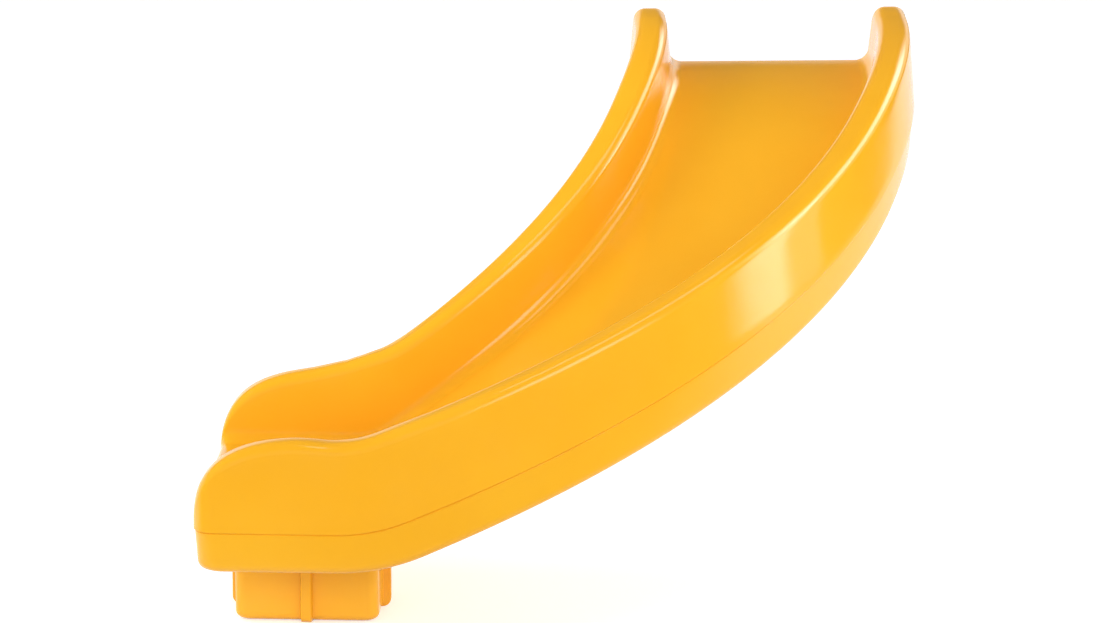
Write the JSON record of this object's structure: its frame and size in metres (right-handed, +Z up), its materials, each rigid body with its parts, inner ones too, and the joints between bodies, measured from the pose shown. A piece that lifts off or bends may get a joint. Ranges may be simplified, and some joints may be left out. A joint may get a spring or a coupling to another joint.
{
  "type": "curved playground slide",
  "caption": "Curved moulded playground slide: a deep trough that drops from a deck and turns to the rider's right, with a rolled rim, an underside pan and a ribbed foot under its run-out.",
  "frame": {"origin": "middle of the flat deck face, halfway between the second and third deck bolt inserts and halfway up the underside pan's back wall", "axes": "+Y out of the slide into the deck, square to the deck face; +Z up; +X to the left of a rider who is about to slide; the rider starts along -Y and turns right towards -X"},
  "size_m": [1.5813, 1.2731, 1.0907],
  "materials": {
    "yellow_plastic": "glossy moulded polyethylene, warm yellow all through",
    "steel": "bright zinc-plated steel",
    "brass": "plain turned brass"
  },
  "bodies": {
    "root": {"chute": "yellow_plastic", "underside_pan": "yellow_plastic", "exit_foot": "yellow_plastic", "body_screw_1": "steel", "body_screw_2": "steel", "body_screw_3": "steel", "body_screw_4": "steel", "body_screw_5": "steel", "body_screw_6": "steel", "body_screw_7": "steel", "body_screw_8": "steel", "body_insert_1": "brass", "body_insert_2": "brass", "body_insert_3": "brass", "body_insert_4": "brass", "body_insert_5": "brass", "body_insert_6": "brass", "body_insert_7": "brass", "body_insert_8": "brass", "deck_insert_1": "brass", "deck_insert_2": "brass", "deck_insert_3": "brass", "deck_insert_4": "brass", "foot_bolt_1": "steel", "foot_bolt_2": "steel", "foot_bolt_3": "steel", "foot_bolt_4": "steel", "foot_washer_1": "steel", "foot_washer_2": "steel", "foot_washer_3": "steel", "foot_washer_4": "steel", "foot_insert_1": "brass", "foot_insert_2": "brass", "foot_insert_3": "brass", "foot_insert_4": "brass"}
  },
  "joints": []
}
